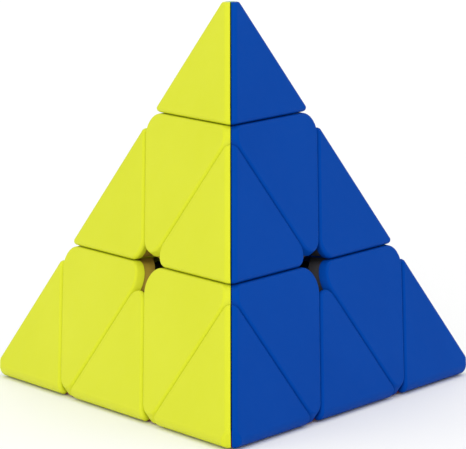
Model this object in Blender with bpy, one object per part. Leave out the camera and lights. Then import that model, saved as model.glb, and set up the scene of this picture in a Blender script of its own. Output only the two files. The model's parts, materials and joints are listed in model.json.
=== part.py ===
"""Pyramid twisty puzzle: a tetrahedron cut into tips, axial pieces and edge
pieces that turn about a hidden ball core.

The origin is the centre of the core. +Z runs up through the top vertex, -Y
points at the front vertex, +X at the right vertex. Every turning axis passes
through the origin, so every object keeps its origin there.
"""
import math

import bmesh
import bpy
from mathutils import Matrix, Vector

# ---------------------------------------------------------------- dimensions
EDGE = 0.104                 # edge of the tetrahedron with sharp corners
RIDGE_R = 0.0018             # fillet along the six edges
VERTEX_R = 0.00235           # rounding at the four vertices
TIP_FRACTION = 0.326         # tip cut, as a fraction of the height from a vertex
LAYER_FRACTION = 0.662       # layer cut, as a fraction of the height
CUT_GAP = 0.0005             # running gap at every cut
SEAM_GAP = 0.0003            # joint between two coloured mouldings of one piece
SEAM_WRAP = 0.00145        # upright colours carry this far under the bottom edges
CHAMFER = 0.00026            # depth taken off the rim of each tile
RIDGE_CHAMFER = 0.00045      # the same where the rim meets an edge
AXIAL_CORNER_R = 0.0038      # tile corner at the centre of a face, axial piece
EDGE_CORNER_R = 0.0035       # the same, edge piece
WALL = 0.0018                # wall of a coloured moulding

CORE_R = 0.0093              # ball core
FOOT_IN = 0.0097             # inner flat of an edge piece's foot
FOOT_R = 0.0136              # outer sphere of the feet
FLANGE_IN_R = 0.0140         # inner sphere of an axial piece's flange
FLANGE_OUT_R = 0.0170        # outer sphere of the flange
FLANGE_SIDE = 0.0058         # flange is cut flat at this height of a neighbour
FLANGE_RIM = 0.00767         # lowest height of the flange on its own axis
STALK_R = 0.0039             # part of the hub that passes between the feet
STALK_Z = 0.0096
HUB_R = 0.0060
HUB_FIT = 0.0003             # gap between the hub and the coloured mouldings
SCREW_BORE_R = 0.0015
POCKET_R = 0.0034            # spring pocket
POCKET_Z = 0.0150
LIP_R = 0.0027               # lip that keeps the tip's snap stem in
LIP_Z = 0.0330

SCREW_R = 0.00115
SCREW_FROM = 0.0040
HEAD_Z = 0.0223
HEAD_R = 0.0025
HEAD_H = 0.0021
WASHER_Z = 0.0214
WASHER_T = 0.0006
WASHER_R = 0.0029
SPRING_Z0 = 0.01535
SPRING_Z1 = 0.02105
SPRING_R = 0.00235           # to the middle of the wire
SPRING_WIRE_R = 0.00032
SPRING_TURNS = 4.5

STEM_R = 0.0023
BEAD_R = 0.00305
BEAD_Z = 0.0285
ANCHOR_R = 0.0048
ANCHOR_Z = 0.0383

NECK_HALF_W = 0.0015
NECK_HALF_L = 0.0060
LATHE_STEPS = 30

# ------------------------------------------------------------- derived sizes
HEIGHT = EDGE * math.sqrt(2.0 / 3.0)
INRADIUS = HEIGHT / 4.0
TIP_Z = HEIGHT * (0.75 - TIP_FRACTION)
LAYER_Z = HEIGHT * (0.75 - LAYER_FRACTION)
G = CUT_GAP / 2.0
S = SEAM_GAP / 2.0

_base = EDGE / math.sqrt(3.0)
VERTEX = {
    "top": Vector((0.0, 0.0, 3.0 * INRADIUS)),
    "front": Vector((0.0, -_base, -INRADIUS)),
    "right": Vector((EDGE / 2.0, _base / 2.0, -INRADIUS)),
    "left": Vector((-EDGE / 2.0, _base / 2.0, -INRADIUS)),
}
NAMES = ("top", "front", "left", "right")
A = {k: v.normalized() for k, v in VERTEX.items()}
# a face is named by the vertex it does not touch
FACE_COLOUR = {"right": "yellow", "left": "blue", "front": "green", "top": "red"}

MATERIALS = {
    "yellow": ((0.76, 0.80, 0.035), 0.30, 0.0),
    "blue": ((0.006, 0.065, 0.36), 0.30, 0.0),
    "green": ((0.010, 0.36, 0.055), 0.30, 0.0),
    "red": ((0.62, 0.012, 0.012), 0.30, 0.0),
    "black": ((0.018, 0.018, 0.020), 0.42, 0.0),
    "steel": ((0.56, 0.57, 0.58), 0.30, 1.0),
}


# ------------------------------------------------------------------- helpers
def clear_scene():
    for obj in list(bpy.data.objects):
        bpy.data.objects.remove(obj, do_unlink=True)


def material(name):
    key = "plastic_" + name if name != "steel" else "spring_steel"
    mat = bpy.data.materials.get(key)
    if mat is None:
        mat = bpy.data.materials.new(key)
        mat.use_nodes = True
        bsdf = mat.node_tree.nodes["Principled BSDF"]
        colour, rough, metal = MATERIALS[name]
        bsdf.inputs["Base Color"].default_value = (*colour, 1.0)
        bsdf.inputs["Roughness"].default_value = rough
        bsdf.inputs["Metallic"].default_value = metal
        mat.diffuse_color = (*colour, 1.0)
    return mat


def clip(bm, normal, dist):
    """Keep the part of a convex solid where normal . x <= dist."""
    n = normal.normalized()
    res = bmesh.ops.bisect_plane(
        bm, geom=bm.verts[:] + bm.edges[:] + bm.faces[:], dist=1e-7,
        plane_co=n * dist, plane_no=n, clear_outer=True)
    rim = [e for e in res["geom_cut"] if isinstance(e, bmesh.types.BMEdge)]
    rim = [e for e in rim if len(e.link_faces) == 1]
    if len(rim) > 2:
        bmesh.ops.edgeloop_fill(bm, edges=rim)


def tidy(bm):
    bmesh.ops.remove_doubles(bm, verts=bm.verts[:], dist=2e-6)
    bmesh.ops.dissolve_degenerate(bm, edges=bm.edges[:], dist=1e-6)
    bmesh.ops.recalc_face_normals(bm, faces=bm.faces[:])


def convex(planes, start=None):
    """The solid common to a list of half spaces (normal, distance)."""
    bm = bmesh.new()
    if start is None:
        bmesh.ops.create_cube(bm, size=0.3)
    else:
        bm.from_mesh(start)
    for normal, dist in planes:
        clip(bm, normal, dist)
    tidy(bm)
    mesh = bpy.data.meshes.new("solid")
    bm.to_mesh(mesh)
    bm.free()
    return mesh


def boolean(mesh, cutter, operation):
    """Apply one exact Boolean and return the new mesh."""
    a = bpy.data.objects.new("work", mesh)
    b = bpy.data.objects.new("cutter", cutter)
    for o in (a, b):
        bpy.context.scene.collection.objects.link(o)
    b.hide_render = True
    b.display_type = "WIRE"
    mod = a.modifiers.new("cut", "BOOLEAN")
    mod.operation = operation
    mod.solver = "EXACT"
    mod.object = b
    graph = bpy.context.evaluated_depsgraph_get()
    out = bpy.data.meshes.new_from_object(a.evaluated_get(graph))
    for o in (a, b):
        bpy.data.objects.remove(o, do_unlink=True)
    bm = bmesh.new()
    bm.from_mesh(out)
    bmesh.ops.remove_doubles(bm, verts=bm.verts[:], dist=2e-6)
    bmesh.ops.dissolve_degenerate(bm, edges=bm.edges[:], dist=1e-6)
    bmesh.ops.dissolve_limit(bm, angle_limit=math.radians(0.05),
                             verts=bm.verts[:], edges=bm.edges[:])
    bm.to_mesh(out)
    bm.free()
    return out


def frame_of(axis, side):
    """Rotation that takes +Z to axis and +X towards side."""
    z = axis.normalized()
    x = (side - z * side.dot(z)).normalized()
    y = z.cross(x)
    return Matrix((x, y, z)).transposed().to_4x4()


def lathe(profile, axis, side, steps=LATHE_STEPS):
    """Revolve a closed (radius, height) outline about an axis."""
    bm = bmesh.new()
    rings = []
    for r, z in profile:
        if r < 1e-9:
            rings.append([bm.verts.new((0.0, 0.0, z))])
            continue
        rings.append([bm.verts.new((r * math.cos(2 * math.pi * k / steps),
                                    r * math.sin(2 * math.pi * k / steps), z))
                      for k in range(steps)])
    count = len(rings)
    for i in range(count):
        p, q = rings[i], rings[(i + 1) % count]
        if len(p) == 1 and len(q) == 1:
            continue
        for k in range(steps):
            m = (k + 1) % steps
            if len(p) == 1:
                bm.faces.new((p[0], q[k], q[m]))
            elif len(q) == 1:
                bm.faces.new((p[k], q[0], p[m]))
            else:
                bm.faces.new((p[k], q[k], q[m], p[m]))
    bmesh.ops.recalc_face_normals(bm, faces=bm.faces[:])
    mesh = bpy.data.meshes.new("lathe")
    bm.to_mesh(mesh)
    bm.free()
    mesh.transform(frame_of(axis, side))
    return mesh


def arc(radius, deg0, deg1, count):
    """(radius, height) points on a sphere section, angles from the axis."""
    out = []
    for k in range(count + 1):
        t = math.radians(deg0 + (deg1 - deg0) * k / count)
        out.append((radius * math.sin(t), radius * math.cos(t)))
    return out


def add(name, mesh, colour, parent, round_piece=False):
    obj = bpy.data.objects.new(name, mesh)
    mesh.name = name
    mesh.materials.clear()
    mesh.materials.append(material(colour))
    bpy.context.scene.collection.objects.link(obj)
    if round_piece:
        mesh.shade_smooth()
        mesh.set_sharp_from_angle(angle=math.radians(32))
    obj.parent = parent
    return obj


def body(name, parent=None):
    empty = bpy.data.objects.new(name, None)
    empty.empty_display_size = 0.01
    bpy.context.scene.collection.objects.link(empty)
    empty.parent = parent
    return empty


# ----------------------------------------------------------- outer skin planes
def others(*used):
    return [n for n in NAMES if n not in used]


def face_plane(opposite):
    return (-A[opposite], INRADIUS)


def ridge_planes(i, j, opposite):
    """Half of the fillet along edge i-j, on the side of one face."""
    m = (A[i] + A[j]).normalized()
    start = -A[opposite]
    centre = m * ((INRADIUS - RIDGE_R) / m.dot(start))
    across = (m - start * m.dot(start)).normalized()
    half = math.acos(m.dot(start))
    planes = []
    for k in (0.4, 0.8):
        t = half * k
        n = start * math.cos(t) + across * math.sin(t)
        planes.append((n, n.dot(centre) + RIDGE_R))
    return planes


def vertex_planes(i):
    centre = A[i] * (3.0 * INRADIUS - 3.0 * VERTEX_R)
    normals = [A[i]]
    for j in others(i):
        m = (A[i] + A[j]).normalized()
        normals.append((A[i] * 1.0 + m * 1.1).normalized())
        normals.append((A[i] + -A[j] * 1.0).normalized())
    return [(n, n.dot(centre) + VERTEX_R) for n in normals]


def rim(outer, walls, depth):
    """Planes that take the sharp rim off where the skin meets a cut."""
    out = []
    for n1, d1 in outer:
        for n2, d2 in walls:
            s = n1 + n2
            if s.length < 0.6:
                continue
            out.append((s.normalized(), (d1 + d2) / s.length - depth))
    return out


def in_face(opposite, j):
    """Direction in a face from its centre towards vertex j."""
    return (A[j] + A[opposite] / 3.0).normalized()


def corner_planes(opposite, towards, wall, radius, outward):
    """Facets that round a tile's corner at the centre of a face.

    towards: in-face direction from the face centre into the tile.
    wall: distance of the two cut lines from the face centre, positive when the
    tile reaches past the centre. outward: sign of the face-normal part.
    """
    f = A[opposite]
    w = f.cross(towards).normalized()
    centre = towards * (2.0 * (radius - wall)) - f * INRADIUS
    planes = []
    for deg in (-45.0, -22.5, 0.0, 22.5, 45.0):
        t = math.radians(deg)
        u = -towards * math.cos(t) + w * math.sin(t)
        n = (u * math.sqrt(8.0 / 9.0) + f * (outward / 3.0)).normalized()
        planes.append((n, n.dot(centre + u * radius)))
    return planes


def seam_shift(i, j, opposite):
    """Distance of the colour seam past the middle of edge i-j, from one tile."""
    other = others(i, j, opposite)[0]
    if opposite == "top":
        return -SEAM_WRAP
    return SEAM_WRAP if other == "top" else 0.0


def seam_plane(i, j, opposite):
    """Seam between two colours on edge i-j, facing out of one face's wedge."""
    n = A[i].cross(A[j]).normalized()
    if n.dot(A[opposite]) < 0:
        n = -n
    return (n, seam_shift(i, j, opposite) - S)


# -------------------------------------------------------------------- pieces
def tip_cap(i, opposite):
    j, k = others(i, opposite)
    skin = [face_plane(opposite), face_plane(j), face_plane(k)]
    ridge = ridge_planes(i, j, opposite) + ridge_planes(i, j, k) \
        + ridge_planes(i, k, opposite) + ridge_planes(i, k, j)
    bottom = (-A[i], -(TIP_Z + G))
    planes = (skin + ridge + vertex_planes(i) + [bottom]
              + [seam_plane(i, j, opposite), seam_plane(i, k, opposite)]
              + rim(skin, [bottom], CHAMFER) + rim(ridge, [bottom], RIDGE_CHAMFER))
    mesh = convex(planes)
    hollow = convex([(n, d - WALL) for n, d in skin]
                    + [(-A[i], -(TIP_Z + G + WALL))])
    mesh = boolean(mesh, hollow, "DIFFERENCE")
    hole = lathe([(0.0, TIP_Z - 0.001), (STEM_R + 0.00035, TIP_Z - 0.001),
                  (STEM_R + 0.00035, TIP_Z + 0.004), (0.0, TIP_Z + 0.004)],
                 A[i], A[j], 24)
    return boolean(mesh, hole, "DIFFERENCE")


def hub_outline(grow):
    """(radius, height) outline of hub and flange, grown for the clearance cut."""
    out_r = FLANGE_OUT_R + grow
    hub = HUB_R + grow
    top = math.degrees(math.asin(hub / out_r))
    return [(0.0, 0.004), (0.02, 0.004), (0.02, 0.0066)] + \
        arc(out_r * 1.006, 66.0, top, 4) + [(hub, 0.05), (0.0, 0.05)]


def axial_cap(i, opposite):
    j, k = others(i, opposite)
    skin = [face_plane(opposite), face_plane(j), face_plane(k)]
    ridge = ridge_planes(i, j, opposite) + ridge_planes(i, j, k) \
        + ridge_planes(i, k, opposite) + ridge_planes(i, k, j)
    top = (A[i], TIP_Z - G)
    sides = [(A[j], LAYER_Z - G), (A[k], LAYER_Z - G)]
    bottom = (-A[i], -(LAYER_Z + G))
    wall = (LAYER_Z - G - INRADIUS / 3.0) / math.sqrt(8.0 / 9.0)
    corner = corner_planes(opposite, in_face(opposite, i), wall,
                           AXIAL_CORNER_R, -1.0)
    planes = (skin + ridge + [top, bottom] + sides + corner
              + [seam_plane(i, j, opposite), seam_plane(i, k, opposite)]
              + rim(skin, [top] + sides + corner, CHAMFER)
              + rim(ridge, [top] + sides, RIDGE_CHAMFER)
              + rim([top], sides, RIDGE_CHAMFER))
    mesh = convex(planes)
    hollow = convex([(n, d - WALL) for n, d in skin] + [
                     (A[i], TIP_Z - G - WALL),
                     (A[j], LAYER_Z - G - WALL), (A[k], LAYER_Z - G - WALL),
                     (-A[i], -(LAYER_Z + G + WALL))]
                    + corner_planes(opposite, in_face(opposite, i), wall - WALL,
                                    AXIAL_CORNER_R - WALL, -1.0))
    mesh = boolean(mesh, hollow, "DIFFERENCE")
    room = lathe(hub_outline(HUB_FIT), A[i], A[j])
    return boolean(mesh, room, "DIFFERENCE")


def axial_hub(i):
    j = others(i)[0]
    inner = arc(FLANGE_IN_R * 1.005, math.degrees(math.asin(STALK_R / FLANGE_IN_R)), 60.0, 4)
    outer = arc(FLANGE_OUT_R, 66.0, math.degrees(math.asin(HUB_R / FLANGE_OUT_R)), 4)
    outline = [(SCREW_BORE_R, STALK_Z), (STALK_R, STALK_Z)] + inner + outer + [
        (HUB_R, TIP_Z - G - 0.0001), (LIP_R, TIP_Z - G - 0.0001), (LIP_R, LIP_Z),
        (POCKET_R, LIP_Z), (POCKET_R, POCKET_Z), (SCREW_BORE_R, POCKET_Z)]
    mesh = lathe(outline, A[i], A[j])
    keep = convex([(-A[i], -FLANGE_RIM)] + [(A[n], FLANGE_SIDE) for n in others(i)])
    body_mesh = boolean(mesh.copy(), keep, "INTERSECT")
    return body_mesh


def tip_stem(i):
    j = others(i)[0]
    outline = [(0.0, BEAD_Z), (BEAD_R - 0.0008, BEAD_Z), (BEAD_R, BEAD_Z + 0.0018),
               (BEAD_R, LIP_Z - 0.0010), (STEM_R, LIP_Z - 0.0004),
               (STEM_R, ANCHOR_Z), (ANCHOR_R, ANCHOR_Z), (ANCHOR_R, ANCHOR_Z + 0.0015),
               (STEM_R, ANCHOR_Z + 0.0028), (STEM_R, ANCHOR_Z + 0.0100),
               (STEM_R - 0.0008, ANCHOR_Z + 0.0108), (0.0, ANCHOR_Z + 0.0108)]
    return lathe(outline, A[i], A[j], 18)


def edge_half(i, j, opposite):
    k = others(i, j, opposite)[0]
    m = (A[i] + A[j]).normalized()
    u = (A[k] - A[opposite]).normalized()
    t = (A[i] - A[j]).normalized()
    skin = [face_plane(opposite), face_plane(k)]
    ridge = ridge_planes(i, j, opposite) + ridge_planes(i, j, k)
    sides = [(-A[i], -(LAYER_Z + G)), (-A[j], -(LAYER_Z + G))]
    split = (-u, seam_shift(i, j, opposite) - S)
    wall = (LAYER_Z + G - INRADIUS / 3.0) / math.sqrt(8.0 / 9.0)
    corner = corner_planes(opposite, -in_face(opposite, k), -wall,
                           EDGE_CORNER_R, 1.0)
    block = convex(skin + ridge + sides + [split] + corner
                   + rim(skin, sides + corner, CHAMFER)
                   + rim(ridge, sides, RIDGE_CHAMFER))
    neck = convex([(t, NECK_HALF_W), (-t, NECK_HALF_W), split,
                   (u, NECK_HALF_L), (-m, -0.0120), (m, 0.0152)])
    ball = bmesh.new()
    bmesh.ops.create_icosphere(ball, subdivisions=3, radius=FOOT_R)
    ball.transform(frame_of(m, t))
    ball_mesh = bpy.data.meshes.new("ball")
    ball.to_mesh(ball_mesh)
    ball.free()
    foot = convex([(-m, -FOOT_IN), (-A[i], -0.0017), (-A[j], -0.0017),
                   (A[k], -0.00025), (A[opposite], -0.00025), split],
                  start=ball_mesh)
    mesh = boolean(block, neck, "UNION")
    mesh = boolean(mesh, foot, "UNION")
    hollow = convex([(n, d - WALL) for n, d in skin] + [
                     (-A[i], -(LAYER_Z + G + WALL)), (-A[j], -(LAYER_Z + G + WALL)),
                     (-m, -0.0185), (u, 0.0128)])
    return boolean(mesh, hollow, "DIFFERENCE")


def core_mesh():
    bm = bmesh.new()
    bmesh.ops.create_icosphere(bm, subdivisions=3, radius=CORE_R)
    mesh = bpy.data.meshes.new("core")
    bm.to_mesh(mesh)
    bm.free()
    for i in NAMES:
        j = others(i)[0]
        flat = lathe([(0.0, CORE_R - 0.0004), (0.006, CORE_R - 0.0004),
                      (0.006, CORE_R + 0.002), (0.0, CORE_R + 0.002)], A[i], A[j], 24)
        mesh = boolean(mesh, flat, "DIFFERENCE")
        hole = lathe([(0.0, SCREW_FROM - 0.0005), (SCREW_R + 0.00035, SCREW_FROM - 0.0005),
                      (SCREW_R + 0.00035, CORE_R + 0.001), (0.0, CORE_R + 0.001)],
                     A[i], A[j], 16)
        mesh = boolean(mesh, hole, "DIFFERENCE")
    return mesh


def screw_mesh(i):
    j = others(i)[0]
    outline = [(0.0, SCREW_FROM), (SCREW_R - 0.0004, SCREW_FROM),
               (SCREW_R, SCREW_FROM + 0.0006), (SCREW_R, HEAD_Z), (HEAD_R, HEAD_Z),
               (HEAD_R, HEAD_Z + HEAD_H * 0.6), (HEAD_R * 0.72, HEAD_Z + HEAD_H),
               (0.0, HEAD_Z + HEAD_H)]
    mesh = lathe(outline, A[i], A[j], 16)
    t = (A[j] - A[i] * A[j].dot(A[i])).normalized()
    w = A[i].cross(t)
    for p, q in ((t, w), (w, t)):
        slot = convex([(p, 0.0012), (-p, 0.0012), (q, 0.00032), (-q, 0.00032),
                       (-A[i], -(HEAD_Z + HEAD_H * 0.42)), (A[i], 0.03)])
        mesh = boolean(mesh, slot, "DIFFERENCE")
    return mesh


def washer_mesh(i):
    j = others(i)[0]
    r = SCREW_R + 0.00032
    return lathe([(r, WASHER_Z), (WASHER_R, WASHER_Z), (WASHER_R, WASHER_Z + WASHER_T),
                  (r, WASHER_Z + WASHER_T)], A[i], A[j], 16)


def spring_mesh(i):
    """Round wire wound into a compression spring with closed ends."""
    j = others(i)[0]
    steps = int(SPRING_TURNS * 10)
    sides = 5
    low, high = SPRING_Z0 + SPRING_WIRE_R, SPRING_Z1 - SPRING_WIRE_R
    bm = bmesh.new()
    rings = []
    for s in range(steps + 1):
        f = s / steps
        ang = 2 * math.pi * SPRING_TURNS * f
        z = low + (high - low) * f
        out = Vector((math.cos(ang), math.sin(ang), 0.0))
        along = Vector((-math.sin(ang), math.cos(ang),
                        (high - low) / (2 * math.pi * SPRING_TURNS * SPRING_R))).normalized()
        up = out.cross(along)
        c = out * SPRING_R + Vector((0.0, 0.0, z))
        rings.append([bm.verts.new(c + (out * math.cos(b) + up * math.sin(b)) * SPRING_WIRE_R)
                      for b in (2 * math.pi * n / sides for n in range(sides))])
    for a, b in zip(rings, rings[1:]):
        for n in range(sides):
            m = (n + 1) % sides
            bm.faces.new((a[n], a[m], b[m], b[n]))
    bm.faces.new(rings[0])
    bm.faces.new(rings[-1])
    bmesh.ops.recalc_face_normals(bm, faces=bm.faces[:])
    mesh = bpy.data.meshes.new("spring")
    bm.to_mesh(mesh)
    bm.free()
    mesh.transform(frame_of(A[i], A[j]))
    return mesh


def main():
    clear_scene()
    core = body("core_assembly")
    add("core_ball", core_mesh(), "black", core, True)
    axial_bodies = {}
    for i in NAMES:
        add("screw_" + i, screw_mesh(i), "steel", core, True)
        add("washer_" + i, washer_mesh(i), "steel", core, True)
        add("spring_" + i, spring_mesh(i), "steel", core, True)
        axial = body("layer_" + i, core)
        axial_bodies[i] = axial
        add("axial_hub_" + i, axial_hub(i), "black", axial, True)
        for opposite in others(i):
            colour = FACE_COLOUR[opposite]
            add("axial_cap_%s_%s" % (i, colour), axial_cap(i, opposite), colour, axial)
        tip = body("tip_turn_" + i, axial)
        add("tip_stem_" + i, tip_stem(i), "black", tip, True)
        for opposite in others(i):
            colour = FACE_COLOUR[opposite]
            add("tip_cap_%s_%s" % (i, colour), tip_cap(i, opposite), colour, tip)
    # each edge piece rides in the layer named first
    for i, j in (("top", "front"), ("top", "left"), ("top", "right"),
                 ("left", "front"), ("right", "left"), ("front", "right")):
        edge = body("edge_piece_%s_%s" % (i, j), axial_bodies[i])
        for opposite in others(i, j):
            colour = FACE_COLOUR[opposite]
            add("edge_%s_%s_%s" % (i, j, colour), edge_half(i, j, opposite), colour, edge)


main()
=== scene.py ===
"""Looks of the pyramid twisty puzzle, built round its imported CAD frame."""

import json
import math

import bmesh
import bpy
from mathutils import Matrix, Vector


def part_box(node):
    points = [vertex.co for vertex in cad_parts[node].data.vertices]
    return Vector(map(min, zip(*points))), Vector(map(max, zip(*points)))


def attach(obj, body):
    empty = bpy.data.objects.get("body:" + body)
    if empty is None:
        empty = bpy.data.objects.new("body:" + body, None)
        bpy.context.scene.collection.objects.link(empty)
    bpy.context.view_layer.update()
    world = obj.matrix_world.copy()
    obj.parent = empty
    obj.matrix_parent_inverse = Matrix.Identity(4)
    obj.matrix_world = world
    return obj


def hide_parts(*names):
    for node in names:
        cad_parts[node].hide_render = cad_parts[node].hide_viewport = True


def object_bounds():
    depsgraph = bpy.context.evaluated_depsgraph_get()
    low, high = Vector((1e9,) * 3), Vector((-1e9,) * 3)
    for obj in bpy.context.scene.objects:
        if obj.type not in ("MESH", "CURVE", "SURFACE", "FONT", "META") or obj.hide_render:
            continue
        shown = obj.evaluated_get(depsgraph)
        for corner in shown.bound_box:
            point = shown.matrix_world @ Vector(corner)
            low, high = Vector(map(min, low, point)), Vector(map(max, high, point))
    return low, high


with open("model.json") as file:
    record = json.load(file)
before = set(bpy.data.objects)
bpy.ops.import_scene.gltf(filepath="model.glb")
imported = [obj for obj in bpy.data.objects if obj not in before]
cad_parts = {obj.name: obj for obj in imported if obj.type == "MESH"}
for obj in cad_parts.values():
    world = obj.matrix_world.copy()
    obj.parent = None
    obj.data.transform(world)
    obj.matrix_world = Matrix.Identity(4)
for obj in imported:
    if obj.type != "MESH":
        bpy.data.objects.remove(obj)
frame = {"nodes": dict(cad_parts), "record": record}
cad_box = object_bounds()

# ------------------------------------------------ sizes read from the frame
INRADIUS = -cad_box[0].z
EDGE = INRADIUS * 4.0 / math.sqrt(2.0 / 3.0)
TIP_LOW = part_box("tip_cap_top_blue")[0].z
AXIAL_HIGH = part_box("axial_cap_top_blue")[1].z
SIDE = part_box("axial_cap_front_blue")[1].z
CUT_GAP = TIP_LOW - AXIAL_HIGH
TIGHTER = 0.00017         # each moulding's bead stands this far into the cut
TIP_LOW, AXIAL_HIGH = TIP_LOW - TIGHTER, AXIAL_HIGH + TIGHTER
AXIAL_LOW = SIDE + CUT_GAP - TIGHTER
SIDE = SIDE + TIGHTER

# ------------------------------------------------------- sizes of the detail
RIDGE_R = 0.0018          # fillet along the six edges
AXIAL_RIDGE_R = 0.0022    # the same fillet on the corner pieces
VERTEX_CUT = 0.0047       # the top vertex ends this far below its sharp corner
FOOT_CUT = 0.0051         # the same at the three vertices it stands on
VERTEX_RIM_R = 0.0007     # fillet round the small flat at each vertex
RIM_R = 0.00078           # fillet round each tile
AXIAL_CORNER_R = 0.0038
EDGE_CORNER_R = 0.0035
LIP = 0.0017              # depth of the coloured lip round a face centre
STEP = 0.00035            # setback of the inner moulding behind the lip; its colour is painted shade
CUT_STEP = 0.00003        # the same along the layer cuts
INNER_REACH = 0.0085      # how far the inner moulding shows from a face centre
SEAM = 0.00020
SEAM_R = 0.00022
SEAM_WRAP = 0.00145       # upright colours carry this far under the bottom edges
RIDGE_RIM_R = 0.00075     # rim fillet where a cut crosses an edge
AXIAL_RIDGE_RIM_R = 0.0010
NOSE_R = 0.0037           # rounded nose of a corner piece on an edge
WALL = 0.0018
HUB_R = 0.0063
FLANGE_R = 0.0174
STEM_HOLE_R = 0.00265
NECK_HALF_W = 0.0015
NECK_HALF_L = 0.0060
FOOT_R = 0.0136
FOOT_IN = 0.0097

_b = EDGE / math.sqrt(3.0)
VERTEX = {
    "top": Vector((0.0, 0.0, 3.0 * INRADIUS)),
    "front": Vector((0.0, -_b, -INRADIUS)),
    "right": Vector((EDGE / 2.0, _b / 2.0, -INRADIUS)),
    "left": Vector((-EDGE / 2.0, _b / 2.0, -INRADIUS)),
}
NAMES = ("top", "front", "left", "right")
A = {k: v.normalized() for k, v in VERTEX.items()}
FACE_COLOUR = {"right": "yellow", "left": "blue", "front": "green", "top": "red"}
IN_PLANE = math.sqrt(8.0 / 9.0)


def others(*used):
    return [n for n in NAMES if n not in used]


# --------------------------------------------------------------- mesh helpers
def slerp(a, b, t):
    w = math.acos(max(-1.0, min(1.0, a.dot(b))))
    return (a * math.sin((1 - t) * w) + b * math.sin(t * w)) / math.sin(w)


def rounded(p1, p2, radius, steps):
    """Planes of a rolling-ball fillet between two planes."""
    (n1, d1), (n2, d2) = p1, p2
    c = n1.dot(n2)
    out = []
    for k in range(1, steps):
        n = slerp(n1, n2, k / steps)
        u, v = n.dot(n1), n.dot(n2)
        s1 = (u - c * v) / (1 - c * c)
        s2 = (v - c * u) / (1 - c * c)
        out.append((n, s1 * (d1 - radius) + s2 * (d2 - radius) + radius))
    return out


def ball_corner(p1, p2, p3, radius, count):
    """Planes round the corner where three planes meet."""
    m = Matrix((p1[0], p2[0], p3[0]))
    c = m.inverted() @ Vector((p1[1] - radius, p2[1] - radius, p3[1] - radius))
    out = []
    for i in range(1, count):
        for j in range(1, count - i):
            k = count - i - j
            n = (p1[0] * i + p2[0] * j + p3[0] * k).normalized()
            out.append((n, n.dot(c) + radius))
    return out


def clip(bm, normal, dist):
    n = normal.normalized()
    if max(v.co.dot(n) for v in bm.verts) <= dist + 1e-8:
        return
    res = bmesh.ops.bisect_plane(
        bm, geom=bm.verts[:] + bm.edges[:] + bm.faces[:], dist=1e-8,
        plane_co=n * dist, plane_no=n, clear_outer=True)
    rim = [e for e in res["geom_cut"] if isinstance(e, bmesh.types.BMEdge)
           and len(e.link_faces) == 1]
    if len(rim) > 2:
        bmesh.ops.edgeloop_fill(bm, edges=rim)
    if any(not e.is_manifold for e in bm.edges):
        hull(bm)


def hull(bm):
    """Closes a convex solid again from its corners."""
    bmesh.ops.remove_doubles(bm, verts=bm.verts[:], dist=2e-7)
    bmesh.ops.delete(bm, geom=bm.edges[:], context="EDGES_FACES")
    res = bmesh.ops.convex_hull(bm, input=bm.verts[:])
    loose = {g for g in res["geom_interior"] + res["geom_unused"]
             if isinstance(g, bmesh.types.BMVert)}
    bmesh.ops.delete(bm, geom=list(loose), context="VERTS")
    bmesh.ops.dissolve_limit(bm, angle_limit=math.radians(0.05),
                             verts=bm.verts[:], edges=bm.edges[:])


def convex(planes, start=None):
    bm = bmesh.new()
    if start is None:
        bmesh.ops.create_cube(bm, size=0.3)
    else:
        bm.from_mesh(start)
    for n, d in planes:
        clip(bm, n, d)
    bmesh.ops.remove_doubles(bm, verts=bm.verts[:], dist=3e-6)
    bmesh.ops.dissolve_degenerate(bm, edges=bm.edges[:], dist=2e-6)
    bmesh.ops.recalc_face_normals(bm, faces=bm.faces[:])
    mesh = bpy.data.meshes.new("solid")
    bm.to_mesh(mesh)
    bm.free()
    return mesh


def boolean(mesh, cutter, operation):
    a = bpy.data.objects.new("work", mesh)
    b = bpy.data.objects.new("cutter", cutter)
    for o in (a, b):
        bpy.context.scene.collection.objects.link(o)
    mod = a.modifiers.new("cut", "BOOLEAN")
    mod.operation = operation
    mod.solver = "EXACT"
    mod.object = b
    graph = bpy.context.evaluated_depsgraph_get()
    out = bpy.data.meshes.new_from_object(a.evaluated_get(graph))
    for o in (a, b):
        bpy.data.objects.remove(o, do_unlink=True)
    return out


def frame_of(axis, side):
    z = axis.normalized()
    x = (side - z * side.dot(z)).normalized()
    return Matrix((x, z.cross(x), z)).transposed().to_4x4()


def lathe(profile, axis, side, steps):
    bm = bmesh.new()
    rings = []
    for r, z in profile:
        if r < 1e-9:
            rings.append([bm.verts.new((0.0, 0.0, z))])
            continue
        rings.append([bm.verts.new((r * math.cos(2 * math.pi * k / steps),
                                    r * math.sin(2 * math.pi * k / steps), z))
                      for k in range(steps)])
    for i in range(len(rings)):
        p, q = rings[i], rings[(i + 1) % len(rings)]
        if len(p) == 1 and len(q) == 1:
            continue
        for k in range(steps):
            m = (k + 1) % steps
            if len(p) == 1:
                bm.faces.new((p[0], q[k], q[m]))
            elif len(q) == 1:
                bm.faces.new((p[k], q[0], p[m]))
            else:
                bm.faces.new((p[k], q[k], q[m], p[m]))
    bmesh.ops.recalc_face_normals(bm, faces=bm.faces[:])
    mesh = bpy.data.meshes.new("lathe")
    bm.to_mesh(mesh)
    bm.free()
    mesh.transform(frame_of(axis, side))
    return mesh


def arc(radius, deg0, deg1, count):
    return [(radius * math.sin(math.radians(deg0 + (deg1 - deg0) * k / count)),
             radius * math.cos(math.radians(deg0 + (deg1 - deg0) * k / count)))
            for k in range(count + 1)]


# ---------------------------------------------------------------- skin planes
def ridge(i, j, opposite, radius=RIDGE_R, count=8):
    m = (A[i] + A[j]).normalized()
    start = -A[opposite]
    centre = m * ((INRADIUS - radius) / m.dot(start))
    out = []
    for k in range(1, count + 1):
        n = slerp(start, m, k / count)
        out.append((n, n.dot(centre) + radius))
    return out


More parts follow.
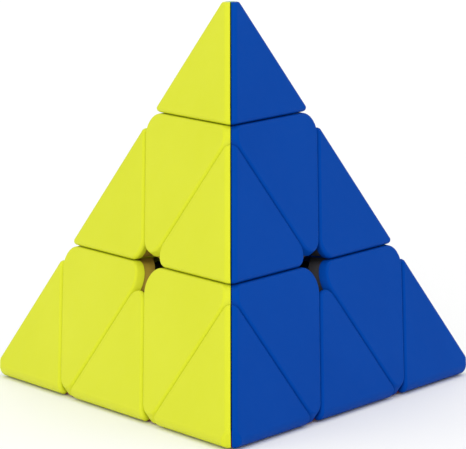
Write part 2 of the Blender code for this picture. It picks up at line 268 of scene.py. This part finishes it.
def ridge_rims(planes, walls, radius=RIDGE_RIM_R):
    """Rim fillet that changes from the face towards the middle of an edge."""
    out = []
    for k, plane in enumerate(planes, 1):
        r = RIM_R + (radius - RIM_R) * k / len(planes)
        for wall in walls:
            out += rounded(plane, wall, r, 5)
    return out


def seam_plane(i, j, opposite, shift):
    n = A[i].cross(A[j]).normalized()
    if n.dot(A[opposite]) < 0:
        n = -n
    return (n, shift - SEAM / 2.0)


def in_face(opposite, j):
    return (A[j] + A[opposite] / 3.0).normalized()


def corner(opposite, towards, wall, radius, outward, count=14):
    f = A[opposite]
    w = f.cross(towards).normalized()
    centre = towards * (2.0 * (radius - wall)) - f * INRADIUS
    out = []
    for k in range(1, count):
        t = math.radians(-60.0 + 120.0 * k / count)
        u = -towards * math.cos(t) + w * math.sin(t)
        n = (u * IN_PLANE + f * (outward / 3.0)).normalized()
        out.append((n, n.dot(centre + u * radius)))
    return out


def rims(skins, walls, radius, steps=5):
    out = []
    for a in skins:
        for b in walls:
            out += rounded(a, b, radius, steps)
    return out


def behind_lip(opposite, extra):
    """Room behind the coloured lip, round the centre of one face."""
    reach, low = INNER_REACH - extra, 0.0142 + extra
    bottom = arc(low, 0.0, math.degrees(math.asin(reach / low)), 8)
    top = INRADIUS - LIP - extra
    return lathe(bottom + [(reach, top), (0.0, top)], -A[opposite],
                 A[others(opposite)[0]], 72)


# ------------------------------------------------------- the three mouldings
def tip_cap(shift_j, shift_k, cut=VERTEX_CUT):
    i, f, j, k = "top", "left", "front", "right"
    faces = [(-A[n], INRADIUS) for n in (f, j, k)]
    halves = [ridge(i, j, f), ridge(i, j, k), ridge(i, k, f), ridge(i, k, j)]
    base = (-A[i], -TIP_LOW)
    sj, sk = seam_plane(i, j, f, shift_j), seam_plane(i, k, f, shift_k)
    flat = (A[i], 3.0 * INRADIUS - cut)
    planes = faces + [base, flat, sj, sk]
    planes += rims(faces, [base], RIM_R) + rims(faces, [flat], VERTEX_RIM_R)
    for half in halves:
        planes += half + ridge_rims(half, [base]) + rims(half, [flat], VERTEX_RIM_R, 4)
    for s, own, far, face in ((sj, halves[0], halves[1], faces[2]),
                              (sk, halves[2], halves[3], faces[1])):
        planes += rims([own[-1]] if abs(s[1]) < 0.0005 else [face, faces[0]], [s], SEAM_R, 3)
    mesh = convex(planes)
    hollow = convex([(n, d - WALL) for n, d in faces] + [(base[0], base[1] - WALL)])
    mesh = boolean(mesh, hollow, "DIFFERENCE")
    hole = lathe([(0.0, TIP_LOW - 0.001), (STEM_HOLE_R, TIP_LOW - 0.001),
                  (STEM_HOLE_R, TIP_LOW + 0.004), (0.0, TIP_LOW + 0.004)],
                 A[i], A[j], 60)
    return boolean(mesh, hole, "DIFFERENCE")


def axial_cap(shift_j, shift_k):
    i, f, j, k = "top", "left", "front", "right"
    faces = [(-A[n], INRADIUS) for n in (f, j, k)]
    top, bottom = (A[i], AXIAL_HIGH), (-A[i], -AXIAL_LOW)
    wj, wk = (A[j], SIDE), (A[k], SIDE)
    sj, sk = seam_plane(i, j, f, shift_j), seam_plane(i, k, f, shift_k)
    wall = (SIDE - INRADIUS / 3.0) / IN_PLANE
    round_corner = corner(f, in_face(f, i), wall, AXIAL_CORNER_R, -1.0)
    nose_j, nose_k = rounded(top, wj, NOSE_R, 10), rounded(top, wk, NOSE_R, 10)
    planes = faces + [top, bottom, wj, wk, sj, sk] + round_corner + nose_j + nose_k
    planes += rims(faces, [top, wj, wk], RIM_R) + rims(faces[:1], round_corner, RIM_R)
    planes += rims(faces, nose_j + nose_k, RIM_R, 4)
    jf, jk, kf, kj = [ridge(i, a, b, AXIAL_RIDGE_R) for a, b in ((j, f), (j, k), (k, f), (k, j))]
    for half, w, nose in ((jf, wj, nose_j), (jk, wj, nose_j), (kf, wk, nose_k), (kj, wk, nose_k)):
        planes += half + ridge_rims(half, [top, w], AXIAL_RIDGE_RIM_R) + rims(half, nose[1::2], RIM_R, 3)
    for s, own, face in ((sj, jf, faces[2]), (sk, kf, faces[1])):
        planes += rims([own[-1]] if abs(s[1]) < 0.0005 else [face, faces[0]], [s], SEAM_R, 3)
    mesh = convex(planes)
    hollow = convex([(n, d - WALL) for n, d in faces]
                    + [(top[0], top[1] - WALL), (wj[0], wj[1] - WALL),
                       (wk[0], wk[1] - WALL), (bottom[0], bottom[1] - WALL)]
                    + corner(f, in_face(f, i), wall - WALL, AXIAL_CORNER_R - WALL, -1.0))
    mesh = boolean(mesh, hollow, "DIFFERENCE")
    mesh = boolean(mesh, hub_room(), "DIFFERENCE")
    return boolean(mesh, behind_lip(f, 0.0), "DIFFERENCE")


def hub_room():
    top_deg = math.degrees(math.asin(HUB_R / FLANGE_R))
    return lathe([(0.0, 0.004), (0.02, 0.004), (0.02, 0.0066)]
                 + arc(FLANGE_R, 66.0, top_deg, 14) + [(HUB_R, 0.05), (0.0, 0.05)],
                 A["top"], A["front"], 90)


def axial_inner():
    """Inner moulding that shows behind the lip of a corner piece; its colour is painted shade."""
    i, f, j, k = "top", "left", "front", "right"
    top, bottom = (A[i], AXIAL_HIGH - STEP), (-A[i], -AXIAL_LOW - STEP)
    wj, wk = (A[j], SIDE - CUT_STEP), (A[k], SIDE - CUT_STEP)
    wall = (SIDE - INRADIUS / 3.0) / IN_PLANE
    inset = STEP / IN_PLANE
    planes = [(-A[f], INRADIUS - LIP - 0.00003), (A[f], -0.0080), top, bottom, wj, wk]
    planes += corner(f, in_face(f, i), wall - inset, AXIAL_CORNER_R - inset, -1.0)
    planes += rims([planes[0]], [wj, wk, bottom], 0.0002, 3)
    mesh = boolean(convex(planes), behind_lip(f, 0.00004), "INTERSECT")
    return boolean(mesh, hub_room(), "DIFFERENCE")


def edge_inner():
    """Inner moulding that shows behind the lip of an edge piece; its colour is painted shade."""
    i, j, f, k = "top", "front", "left", "right"
    wi, wj = (-A[i], -AXIAL_LOW - CUT_STEP), (-A[j], -AXIAL_LOW - CUT_STEP)
    wall = (AXIAL_LOW - INRADIUS / 3.0) / IN_PLANE
    inset = STEP / IN_PLANE
    planes = [(-A[f], INRADIUS - LIP - 0.00003), (A[f], -0.0080), wi, wj]
    planes += corner(f, -in_face(f, k), -wall - inset, EDGE_CORNER_R - inset, 1.0)
    planes += rims([planes[0]], [wi, wj], 0.0002, 3)
    return boolean(convex(planes), behind_lip(f, 0.00004), "INTERSECT")


def edge_half(shift):
    i, j, f, k = "top", "front", "left", "right"
    m = (A[i] + A[j]).normalized()
    u = (A[k] - A[f]).normalized()
    t = (A[i] - A[j]).normalized()
    faces = [(-A[f], INRADIUS), (-A[k], INRADIUS)]
    halves = [ridge(i, j, f), ridge(i, j, k)]
    wi, wj = (-A[i], -AXIAL_LOW), (-A[j], -AXIAL_LOW)
    split = (-u, shift - SEAM / 2.0)
    wall = (AXIAL_LOW - INRADIUS / 3.0) / IN_PLANE
    round_corner = corner(f, -in_face(f, k), -wall, EDGE_CORNER_R, 1.0)
    planes = faces + [wi, wj, split] + round_corner
    planes += rims(faces, [wi, wj], RIM_R) + rims(faces[:1], round_corner, RIM_R)
    for half in halves:
        planes += half + ridge_rims(half, [wi, wj])
    planes += rims([halves[0][-1]] if abs(shift) < 0.0005 else faces, [split], SEAM_R, 3)
    block = convex(planes)
    neck = convex([(t, NECK_HALF_W), (-t, NECK_HALF_W), split, (u, NECK_HALF_L),
                   (-m, -0.0120), (m, 0.0152)])
    ball = bmesh.new()
    bmesh.ops.create_icosphere(ball, subdivisions=5, radius=FOOT_R)
    ball.transform(frame_of(m, t))
    ball_mesh = bpy.data.meshes.new("ball")
    ball.to_mesh(ball_mesh)
    ball.free()
    foot = convex([(-m, -FOOT_IN), (-A[i], -0.0017), (-A[j], -0.0017),
                   (A[k], -0.00025), (A[f], -0.00025), split], start=ball_mesh)
    mesh = boolean(boolean(block, neck, "UNION"), foot, "UNION")
    hollow = convex([(n, d - WALL) for n, d in faces]
                    + [(wi[0], wi[1] - WALL), (wj[0], wj[1] - WALL),
                       (-m, -0.0185), (u, 0.0128)])
    mesh = boolean(mesh, hollow, "DIFFERENCE")
    return boolean(mesh, behind_lip(f, 0.0), "DIFFERENCE")


# ------------------------------------------------------------------ materials
def new_material(name):
    mat = bpy.data.materials.new(name)
    mat.use_nodes = True
    tree = mat.node_tree
    tree.nodes.clear()
    out = tree.nodes.new("ShaderNodeOutputMaterial")
    bsdf = tree.nodes.new("ShaderNodeBsdfPrincipled")
    tree.links.new(bsdf.outputs["BSDF"], out.inputs["Surface"])
    coord = tree.nodes.new("ShaderNodeTexCoord")
    return mat, tree, bsdf, coord


def noise(tree, coord, scale, detail=3.0, rough=0.5):
    n = tree.nodes.new("ShaderNodeTexNoise")
    n.inputs["Scale"].default_value = scale
    n.inputs["Detail"].default_value = detail
    n.inputs["Roughness"].default_value = rough
    tree.links.new(coord.outputs["Object"], n.inputs["Vector"])
    return n


def span(tree, source, low, high, lo=0.3, hi=0.7):
    r = tree.nodes.new("ShaderNodeMapRange")
    r.inputs["From Min"].default_value = lo
    r.inputs["From Max"].default_value = hi
    r.inputs["To Min"].default_value = low
    r.inputs["To Max"].default_value = high
    tree.links.new(source, r.inputs["Value"])
    return r.outputs["Result"]


def plastic(name, dark, light, rough, spread, bump=0.05, spec=0.28):
    """Moulded plastic: slow colour drift, uneven polish and a fine grain."""
    mat, tree, bsdf, coord = new_material(name)
    drift = noise(tree, coord, 38.0, 4.0, 0.55)
    fine = noise(tree, coord, 420.0, 2.0, 0.5)
    grain = noise(tree, coord, 2600.0, 2.0, 0.6)
    mix = tree.nodes.new("ShaderNodeMix")
    mix.data_type = "RGBA"
    mix.inputs["A"].default_value = (*dark, 1.0)
    mix.inputs["B"].default_value = (*light, 1.0)
    tree.links.new(span(tree, drift.outputs["Fac"], 0.0, 1.0), mix.inputs["Factor"])
    tree.links.new(mix.outputs["Result"], bsdf.inputs["Base Color"])
    tree.links.new(span(tree, fine.outputs["Fac"], rough - spread, rough + spread),
                   bsdf.inputs["Roughness"])
    b = tree.nodes.new("ShaderNodeBump")
    b.inputs["Strength"].default_value = bump
    b.inputs["Distance"].default_value = 0.00004
    tree.links.new(grain.outputs["Fac"], b.inputs["Height"])
    tree.links.new(b.outputs["Normal"], bsdf.inputs["Normal"])
    bsdf.inputs["Specular IOR Level"].default_value = spec
    return mat


def steel(name):
    mat, tree, bsdf, coord = new_material(name)
    a = noise(tree, coord, 300.0, 3.0, 0.6)
    mix = tree.nodes.new("ShaderNodeMix")
    mix.data_type = "RGBA"
    mix.inputs["A"].default_value = (0.42, 0.43, 0.44, 1.0)
    mix.inputs["B"].default_value = (0.66, 0.66, 0.67, 1.0)
    tree.links.new(span(tree, a.outputs["Fac"], 0.0, 1.0), mix.inputs["Factor"])
    tree.links.new(mix.outputs["Result"], bsdf.inputs["Base Color"])
    tree.links.new(span(tree, a.outputs["Fac"], 0.22, 0.40), bsdf.inputs["Roughness"])
    bsdf.inputs["Metallic"].default_value = 1.0
    return mat


MAT = {
    "yellow": plastic("yellow_moulding", (0.650, 0.694, 0.024), (0.680, 0.722, 0.032), 0.42, 0.05, 0.05, 0.10),
    "blue": plastic("blue_moulding", (0.0003, 0.0535, 0.338), (0.0006, 0.0585, 0.358), 0.42, 0.05, 0.05, 0.016),
    "green": plastic("green_moulding", (0.003, 0.300, 0.045), (0.006, 0.330, 0.056), 0.42, 0.05, 0.05, 0.06),
    "red": plastic("red_moulding", (0.600, 0.006, 0.007), (0.655, 0.011, 0.011), 0.42, 0.05, 0.05, 0.12),
    "black": plastic("black_moulding", (0.012, 0.012, 0.013), (0.022, 0.022, 0.024), 0.50, 0.06, 0.12),
    # Painted shade: darkened, face-tinted copies of the face colours for the inner mouldings, standing in for the
    # shade inside the holes at the face centres (mustard behind yellow, dark grey behind blue).
    "inner_yellow": plastic("inner_yellow_side", (0.40, 0.275, 0.036), (0.47, 0.325, 0.048), 0.52, 0.06, 0.10, 0.12),
    "inner_blue": plastic("inner_blue_side", (0.046, 0.044, 0.048), (0.062, 0.059, 0.062), 0.52, 0.06, 0.10, 0.12),
    "inner_green": plastic("inner_green_side", (0.035, 0.090, 0.038), (0.045, 0.115, 0.046), 0.52, 0.06, 0.10, 0.12),
    "inner_red": plastic("inner_red_side", (0.150, 0.030, 0.026), (0.185, 0.038, 0.032), 0.52, 0.06, 0.10, 0.12),
    "steel": steel("plated_steel"),
}

# ------------------------------------------------------------------ assembly
BODY = {n: b for b, ns in frame["record"]["behaviour"]["bodies"].items() for n in ns}


def place(base, node, turn, colour):
    mesh = base.copy()
    mesh.transform(turn)
    mesh.name = node + "_fine"
    mesh.materials.clear()
    mesh.materials.append(MAT[colour])
    mesh.shade_smooth()
    mesh.set_sharp_from_angle(angle=math.radians(34))
    obj = bpy.data.objects.new(node + "_fine", mesh)
    bpy.context.scene.collection.objects.link(obj)
    wn = obj.modifiers.new("flat_faces", "WEIGHTED_NORMAL")
    wn.mode = "FACE_AREA"
    wn.weight = 90
    wn.keep_sharp = True
    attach(obj, BODY[node])
    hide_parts(node)


def wrap(opposite, neighbour):
    """How far the seam lies past the middle, seen from one face's tile."""
    if opposite == "top":
        return -SEAM_WRAP
    return SEAM_WRAP if neighbour == "top" else 0.0


def place_inner(parts, name, body):
    """Joins the inner mouldings of one moving piece and adds them, each part coloured with the painted shade of the
    face it sits behind.
    """
    bm = bmesh.new()
    slots = []
    for mesh, turn, colour in parts:
        part = mesh.copy()
        part.transform(turn)
        for poly in part.polygons:
            poly.material_index = len(slots)
        # painted shade: each part takes the darkened copy of its own face's colour
        slots.append(MAT["inner_" + colour])
        bm.from_mesh(part)
    joined = bpy.data.meshes.new(name)
    bm.to_mesh(joined)
    bm.free()
    for mat in slots:
        joined.materials.append(mat)
    joined.shade_smooth()
    joined.set_sharp_from_angle(angle=math.radians(34))
    obj = bpy.data.objects.new(name, joined)
    bpy.context.scene.collection.objects.link(obj)
    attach(obj, body)


def image_of(name, turn):
    return max(NAMES, key=lambda n: A[n].dot(turn @ A[name]))


BUILT = {}


def built(kind, *shifts):
    if (kind, shifts) not in BUILT:
        BUILT[(kind, shifts)] = kind(*shifts)
    return BUILT[(kind, shifts)]


home = frame_of(A["top"], A["left"]).inverted()
for v in NAMES:
    place_inner([(built(axial_inner), frame_of(A[v], A[o]) @ home, FACE_COLOUR[o]) for o in others(v)],
                "axial_inner_" + v, "axial_piece_" + v)
    for opp in others(v):
        c = FACE_COLOUR[opp]
        turn = frame_of(A[v], A[opp]) @ home
        j, k = image_of("front", turn), image_of("right", turn)
        # the ridge towards j lies between this face and the face named k
        shifts = (wrap(opp, k), wrap(opp, j))
        cut = VERTEX_CUT if v == "top" else FOOT_CUT
        place(built(tip_cap, *shifts, cut), "tip_cap_%s_%s" % (v, c), turn, c)
        place(built(axial_cap, *shifts), "axial_cap_%s_%s" % (v, c), turn, c)
home = frame_of(A["left"], A["right"]).inverted()
for i, j in (("top", "front"), ("top", "left"), ("top", "right"),
             ("left", "front"), ("right", "left"), ("front", "right")):
    a, b = others(i, j)
    place_inner([(built(edge_inner), frame_of(A[a], A[b]) @ home, FACE_COLOUR[a]),
                 (built(edge_inner), frame_of(A[b], A[a]) @ home, FACE_COLOUR[b])],
                "edge_inner_%s_%s" % (i, j), "edge_piece_%s_%s" % (i, j))
    for opp in (a, b):
        k = others(i, j, opp)[0]
        c = FACE_COLOUR[opp]
        place(built(edge_half, wrap(opp, k)), "edge_%s_%s_%s" % (i, j, c),
              frame_of(A[opp], A[k]) @ home, c)

for name, obj in frame["nodes"].items():
    key = "steel" if name.split("_")[0] in ("screw", "washer", "spring") else None
    if name.split("_")[0] in ("core",) or "hub" in name or "stem" in name:
        key = "black"
    if key:
        for s in range(max(1, len(obj.material_slots))):
            if obj.material_slots:
                obj.material_slots[s].material = MAT[key]
            else:
                obj.data.materials.append(MAT[key])

# --------------------------------------------------------------------- stage
bm = bmesh.new()
ring = [bm.verts.new((6.0 * math.cos(2 * math.pi * k / 96),
                      6.0 * math.sin(2 * math.pi * k / 96), 0.0)) for k in range(96)]
bm.faces.new(ring)
floor_mesh = bpy.data.meshes.new("floor")
bm.to_mesh(floor_mesh)
bm.free()
floor = bpy.data.objects.new("floor", floor_mesh)
floor.location.z = -INRADIUS - 0.0002
bpy.context.scene.collection.objects.link(floor)
fmat, ftree, fbsdf, fcoord = new_material("pale_floor")
fn = noise(ftree, fcoord, 3.0, 2.0, 0.5)
fmix = ftree.nodes.new("ShaderNodeMix")
fmix.data_type = "RGBA"
fmix.inputs["A"].default_value = (0.93, 0.93, 0.93, 1.0)
fmix.inputs["B"].default_value = (0.96, 0.96, 0.96, 1.0)
ftree.links.new(fn.outputs["Fac"], fmix.inputs["Factor"])
ftree.links.new(fmix.outputs["Result"], fbsdf.inputs["Base Color"])
fbsdf.inputs["Roughness"].default_value = 0.9
fbsdf.inputs["Specular IOR Level"].default_value = 0.1
floor.data.materials.append(fmat)

# --------------------------------------------------------------------- light
world = bpy.context.scene.world or bpy.data.worlds.new("world")
bpy.context.scene.world = world
world.use_nodes = True
bg = world.node_tree.nodes.get("Background") or world.node_tree.nodes.new("ShaderNodeBackground")
bg.inputs["Color"].default_value = (1.0, 1.0, 1.0, 1.0)
bg.inputs["Strength"].default_value = 0.75


def softbox(name, where, size, power, aim=(0.0, 0.0, 0.0)):
    data = bpy.data.lights.new(name, "AREA")
    data.shape = "RECTANGLE"
    data.size, data.size_y = size
    data.energy = power
    obj = bpy.data.objects.new(name, data)
    obj.location = where
    obj.rotation_mode = "QUATERNION"
    obj.rotation_quaternion = (Vector(aim) - Vector(where)).to_track_quat("-Z", "Y")
    bpy.context.scene.collection.objects.link(obj)


softbox("overhead", (0.0, 0.0, 1.3), (1.8, 1.8), 6.5)
softbox("front_left", (-0.22, -1.46, 0.30), (0.7, 0.6), 7.0)
softbox("side_left", (-1.3, 0.2, 0.5), (0.9, 0.9), 0.4)
softbox("side_right", (1.3, 0.1, 0.4), (0.9, 0.9), 0.9)
softbox("back", (0.0, 1.4, 0.5), (0.9, 0.8), 2.0)

# -------------------------------------------------------------------- camera
W_PX, H_PX = 466.0, 449.0
AZ, EL, ROLL = math.radians(0.2824), math.radians(8.0435), math.radians(0.2605)
FOCAL_PX = 3986.42
DIST = 7.7247 * EDGE
AXIS_PX = (231.28, 241.98)
cam_data = bpy.data.cameras.new("camera")
cam = bpy.data.objects.new("camera", cam_data)
bpy.context.scene.collection.objects.link(cam)
back = Vector((math.sin(AZ) * math.cos(EL), -math.cos(AZ) * math.cos(EL), math.sin(EL)))
cam.location = Vector((0.0, 0.0, 0.1 * EDGE)) + back * DIST
fw = -back
right = fw.cross(Vector((0.0, 0.0, 1.0))).normalized()
down = fw.cross(right).normalized()
right, down = (right * math.cos(ROLL) + down * math.sin(ROLL),
               down * math.cos(ROLL) - right * math.sin(ROLL))
aim = (fw + right * ((W_PX / 2 - 0.5 - AXIS_PX[0]) / FOCAL_PX)
       + down * ((H_PX / 2 - 0.5 - AXIS_PX[1]) / FOCAL_PX)).normalized()
side = (right - aim * right.dot(aim)).normalized()
up = side.cross(aim)
cam.rotation_mode = "QUATERNION"
cam.rotation_quaternion = Matrix((side, up, -aim)).transposed().to_quaternion()
cam_data.sensor_width = 36.0
cam_data.lens = FOCAL_PX * 36.0 / W_PX
cam_data.clip_start = 0.01
cam_data.clip_end = 50.0
bpy.context.scene.camera = cam
bpy.context.scene.view_settings.view_transform = "Standard"
